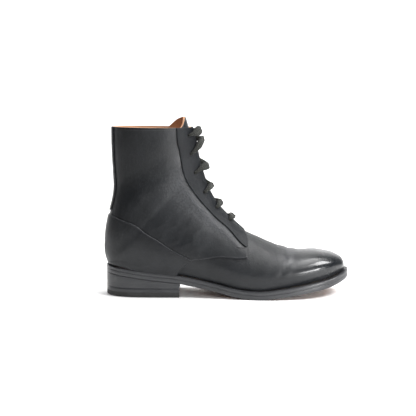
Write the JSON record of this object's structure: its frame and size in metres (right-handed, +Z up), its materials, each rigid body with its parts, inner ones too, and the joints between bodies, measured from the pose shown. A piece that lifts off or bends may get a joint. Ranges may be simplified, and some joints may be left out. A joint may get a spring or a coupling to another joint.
{
  "type": "lace-up ankle boot",
  "caption": "Right-foot lace-up derby ankle boot in smooth leather with stitched leather sole and stacked heel.",
  "frame": {"origin": "centre of the boot's box at ground level, where the heel and the ball stand", "axes": "+X towards the toe, +Y towards the inner (medial) side, +Z up"},
  "size_m": [0.3037, 0.1046, 0.2163],
  "materials": {
    "upper_leather": "satin",
    "lining_leather": "matte",
    "sole_edge": "satin",
    "heel_rubber": "matte",
    "lace_fabric": "matte",
    "aglet_plastic": "satin",
    "eyelet_metal": "satin",
    "shank_steel": "satin",
    "nail_brass": "satin",
    "cork": "matte",
    "board": "matte"
  },
  "bodies": {
    "boot": {"outsole": "sole_edge", "welt": "sole_edge", "heel_wedge": "sole_edge", "heel_lift_upper": "sole_edge", "heel_lift_lower": "sole_edge", "top_piece": "heel_rubber", "heel_nails": "nail_brass", "insole": "board", "sock_liner": "lining_leather", "cork_filler": "cork", "shank": "shank_steel", "vamp": "upper_leather", "vamp_lining": "lining_leather", "toe_puff": "board", "quarter_lateral": "upper_leather", "quarter_medial": "upper_leather", "quarter_lining_lateral": "lining_leather", "quarter_lining_medial": "lining_leather", "heel_stiffener": "board", "counter_cover": "upper_leather", "back_strip": "upper_leather", "facing_lateral": "upper_leather", "facing_medial": "upper_leather", "eyelets_lateral": "eyelet_metal", "eyelets_medial": "eyelet_metal", "lace": "lace_fabric", "lace_end_lateral": "lace_fabric", "lace_end_medial": "lace_fabric", "aglets": "aglet_plastic"},
    "tongue": {"tongue": "upper_leather", "tongue_lining": "lining_leather"}
  },
  "joints": [
    {"name": "tongue_tilt", "type": "hinge", "parent": "boot", "child": "tongue", "pos_m": [0.0166, 0, 0.07], "axis": [0, -1, 0], "range_deg": [0, 14]}
  ]
}
